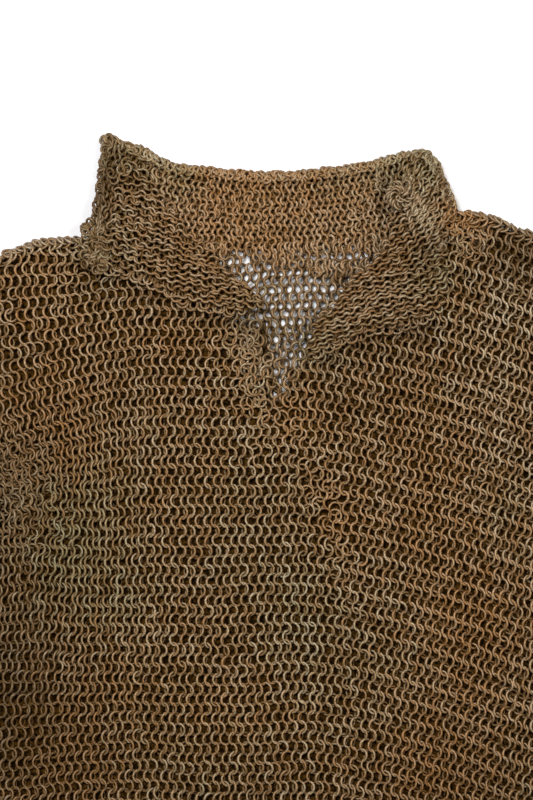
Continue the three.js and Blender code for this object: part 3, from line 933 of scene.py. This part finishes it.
def lapel_surface(low, high, width):
    """A fan of strands between two guide lines: v runs along a strand, u from the low one to the
    high one."""
    low, high = spaced(low, GUIDE_STEPS), spaced(high, GUIDE_STEPS)
    last = GUIDE_STEPS - 1
    length = np.linalg.norm(np.diff(low, axis=0), axis=1).sum()

    def surface(u, v):
        """From the low line to the high one by u, bunched by two waves."""
        at = np.clip(v / length, -0.15, 1.15) * last
        ends = []
        for line in (low, high):
            before = np.clip(at, None, 0)[:, None] * (line[1] - line[0])
            after = np.clip(at - last, 0, None)[:, None] * (line[-1] - line[-2])
            ends.append(picked(line, at) + before + after)
        t = (u / width)[:, None]
        plan = ends[0] * (1 - t) + ends[1] * t
        bunched = np.sin(u / (3.1 * MM) + v / (13 * MM)) + np.sin(v / (5.3 * MM) - u / (8 * MM))
        plan = plan + 0.55 * MM * np.column_stack([0.6 * bunched, bunched])
        return np.column_stack([plan, lapel_middle(plan[:, 0], plan[:, 1])])

    return surface, length


def curled_corner(x, y, height):
    """The collar's corner, curled up at its fold: rings on edge round a centre like petals, in an
    outer and a higher inner circle. Each ring's face looks round the circle and a little up."""
    found = []
    for reach, rise, count in ((6.6, 0.0, 18), (3.2, 1.8, 9)):
        turn = 2 * np.pi * np.arange(count) / count + rng.normal(0, 0.12, count)
        spoke = np.column_stack([np.cos(turn), np.sin(turn), 0 * turn])
        way_round = np.column_stack([-np.sin(turn), np.cos(turn), 0 * turn])
        centre = MM * ([x, y, height + rise] + reach * spoke)
        outward = 0.75 * way_round + [0, 0, 0.66]
        found.append((centre, spoke, outward, rng.normal(0.25, 0.15, count)))
    return joined(*found)


LAPELS_UNTIDY = [
    (-112, 362, 18, 1.6), (-96, 345, 12, 0.8), (112, 350, 18, 0.9), (92, 340, 10, 0.6),
    (-122, 306, 12, 1.2), (126, 300, 12, 1.2)]


def lapel(word, inner, outer, fans, fold, loose, hanging):
    """One lapel: strands from its fans, kept within the outline and swelling towards the fold,
    with rings as large as they are spaced; columns of rings that turn over the fold, which has the
    lapel on its left; loose rings; larger rings that hang from its lower edge; and the dark wall
    below, painted shade for the shadow under the rings. A fan is its two guide lines, their
    distance, the shares of it and of its length that carry rings, and the least and most distance
    from the fold, in mm."""
    outline = np.vstack([outer, inner[::-1]])
    woven = []
    for low, high, width, across, lengthways, from_fold in fans:
        surface, length = lapel_surface(low, high, width)
        u, v, side = lattice(
            (across[0] * width, across[1] * width), (lengthways[0] * length, lengthways[1] * length),
            LAPEL_PITCH, LAPEL_ROW)
        centre = surface(u, v)
        kept = to_outline(centre, outline)[0] > 1.4 * MM
        away = off_line(centre, fold)
        kept &= (away > from_fold[0] * MM) & (away < from_fold[1] * MM)
        u, v, side = u[kept], v[kept], side[kept]
        wide, tall = (np.linalg.norm(way, axis=1) / (2 * STEP) for way in runs(surface, u, v))
        size = np.clip(np.sqrt(wide * tall), 0.85, 1.45)
        woven.append((*weave(surface, u, v, side, LAPEL_PITCH, LAPEL_WIRE, 1.5), size))
    centre, along, outward, lean, size = joined(*woven)
    distance, towards = to_outline(centre, outline)
    tilt = 0.7 * (1 - smooth(1 * MM, 6 * MM, distance))
    centre, along, outward = turned_out(centre, along, outward, towards, tilt)
    centre[:, 2] += 2.2 * MM * smooth(2 * MM, 16 * MM, distance) - 1.2 * MM * tilt
    band = edge_band(
        fold, [(1.6 * MM, 0.85, 1.8 * MM), (3.2 * MM, 0.5, 0.4 * MM)],
        4.0 * MM, lapel_middle, False)
    hung = edge_band(hanging, [(1.7 * MM, 0.25, 0.9 * MM)], 6.4 * MM, lapel_middle, False)
    placed = joined((centre, along, outward, lean), band, loose, hung)
    hung_size = rng.uniform(1.1, 1.5, len(hung[0]))
    size = np.concatenate([size, np.ones(len(band[0]) + len(loose[0])), hung_size])
    untidy = 1.4 + blob(placed[0], LAPELS_UNTIDY)
    placed = shaken(*placed, untidy)
    piece = rings(f"lapel_{word}_rings", *placed, LAPEL_RADIUS * size, LAPEL_WIRE, 10, 4)
    add_piece(piece, lapel_iron, f"lapel_{word}")
    folds, rims = spaced(inner, 40), spaced(outer, 40)
    left, right = (rims, folds) if word == "left" else (folds, rims)
    middle = (left + right) / 2
    left, right = left + 0.2 * (middle - left), right + 0.2 * (middle - right)
    plan = np.swapaxes(ruled(left, right, 12), 0, 1)[::-1][1:-2]
    base = wall(f"lapel_{word}_wall", plan, lambda x, y: lapel_floor(x, y) + 0.5 * MM)
    add_piece(base, lapel_shade_wall, f"lapel_{word}")


# The lapels' walls are painted shade, dark for the shadow under their rings.
lapel_shade_wall = shade_wall_material("shade_wall_of_the_lapels", (0.085, 0.036, 0.004))
lapel_iron = mail_material(
    "iron_of_the_lapels", (0.211, 0.112, 0.045), (0.307, 0.202, 0.107), (0.446, 0.349, 0.232), 1.3)
lapel(
    "left", LEFT_INNER, LEFT_OUTER,
    [(mm([-130, 299], [-106, 290], [-84, 281.5], [-63, 275.5], [-42, 272], [-22, 265], [0, 259]),
      mm([-120, 358], [-99, 350], [-82, 340], [-67, 331], [-53, 323], [-29, 310], [-8, 297]),
      54 * MM, (-0.3, 1.6), (-0.2, 1.2), (13, 500)),
     (mm([-112, 384], [-114, 366], [-117, 346], [-124, 326]),
      mm([-94, 382], [-97, 362], [-102, 342], [-109, 322]),
      20 * MM, (0.0, 1.0), (-0.1, 1.1), (1.5, 14.5))],
    np.vstack([mm([-112, 386]), LEFT_OUTER[1:5]]),
    heap([(-118, 314, 10, 14, 12, 50), (-120, 301, 10, 9, 12, 30), (-103, 362, 6, 14, 12.5, 10)]),
    np.vstack([LEFT_OUTER[7:13], mm([-24, 261])]))
lapel(
    "right", RIGHT_INNER, RIGHT_OUTER,
    [(mm([26.6, 229], [45, 237], [62.7, 245.5], [80, 251.5], [95, 255], [108, 257], [119, 260],
         [131, 266]),
      mm([10, 296], [30, 303], [50, 311], [66, 319], [78, 327], [86, 334], [92, 341], [97, 350]),
      96 * MM, (-0.3, 1.0), (-0.2, 1.12), (3, 500)),
     (mm([90, 346], [96, 360], [104, 376]), mm([119, 314], [127, 324], [135, 334]),
      58 * MM, (-0.05, 1.05), (0.0, 1.05), (2, 500))],
    np.vstack([mm([129, 323], [131.5, 331]), RIGHT_OUTER[4:0:-1], mm([104, 375.5])]),
    joined(heap([(131, 323, 10, 9, 8, 9), (120, 306, 5, 22, 12, 10)]),
           curled_corner(93, 344.5, 14.5)),
    np.vstack([mm([36, 231.5]), RIGHT_OUTER[16:10:-1]]))

# ---- Floor, light and camera ----
# The shirt lies on a smooth, pale painted floor. A large soft light stands beyond the collar to the
# left, a weaker and warmer one to the right, and the camera looks straight down at the chest.

FLOOR_THICKNESS = 20 * MM
floor = wall(
    "floor", ruled(np.array([[-4.0, -4.0], [4.0, -4.0]]), np.array([[-4.0, 4.0], [4.0, 4.0]]), 2),
    level(-FLOOR_THICKNESS), FLOOR_THICKNESS)
floor_values = {"Base Color": (0.78, 0.765, 0.77, 1), "Roughness": 0.9}
floor.data.materials.append(new_material("pale_floor", floor_values)[0])

world = bpy.data.worlds.new("studio")
world.use_nodes = True
put(world.node_tree.nodes["Background"], {"Color": (1, 0.97, 0.9, 1), "Strength": 0.22})
bpy.context.scene.world = world


def softbox(name, place, aim, size, watts, colour):
    """A square light of the given size, at place, turned to face aim."""
    data = bpy.data.lights.new(name, "AREA")
    data.size = size
    data.energy = watts
    data.color = colour
    lamp = new_object(name, data)
    lamp.location = place
    lamp.rotation_euler = (Vector(aim) - Vector(place)).to_track_quat("-Z", "Y").to_euler()


softbox("key", (-0.8, 1.3, 2.2), (0, 0.15, 0), 1.0, 75, (0.96, 0.98, 1.0))
softbox("fill", (1.7, 0.5, 1.9), (0, 0.15, 0), 1.2, 38, (1.0, 0.93, 0.84))

CAMERA_HEIGHT = 1.8
MAIL_HEIGHT = 8 * MM  # the height that the view's height is measured at
VIEW_HEIGHT = 560 * MM
VIEW_MIDDLE_Y = 201.2 * MM
SENSOR = 36
camera_data = bpy.data.cameras.new("camera")
camera_data.sensor_width = SENSOR
camera_data.lens = SENSOR * (CAMERA_HEIGHT - MAIL_HEIGHT) / VIEW_HEIGHT
camera = new_object("camera", camera_data)
camera.location = (0, VIEW_MIDDLE_Y, CAMERA_HEIGHT)
bpy.context.scene.camera = camera
bpy.context.scene.view_settings.view_transform = "Standard"
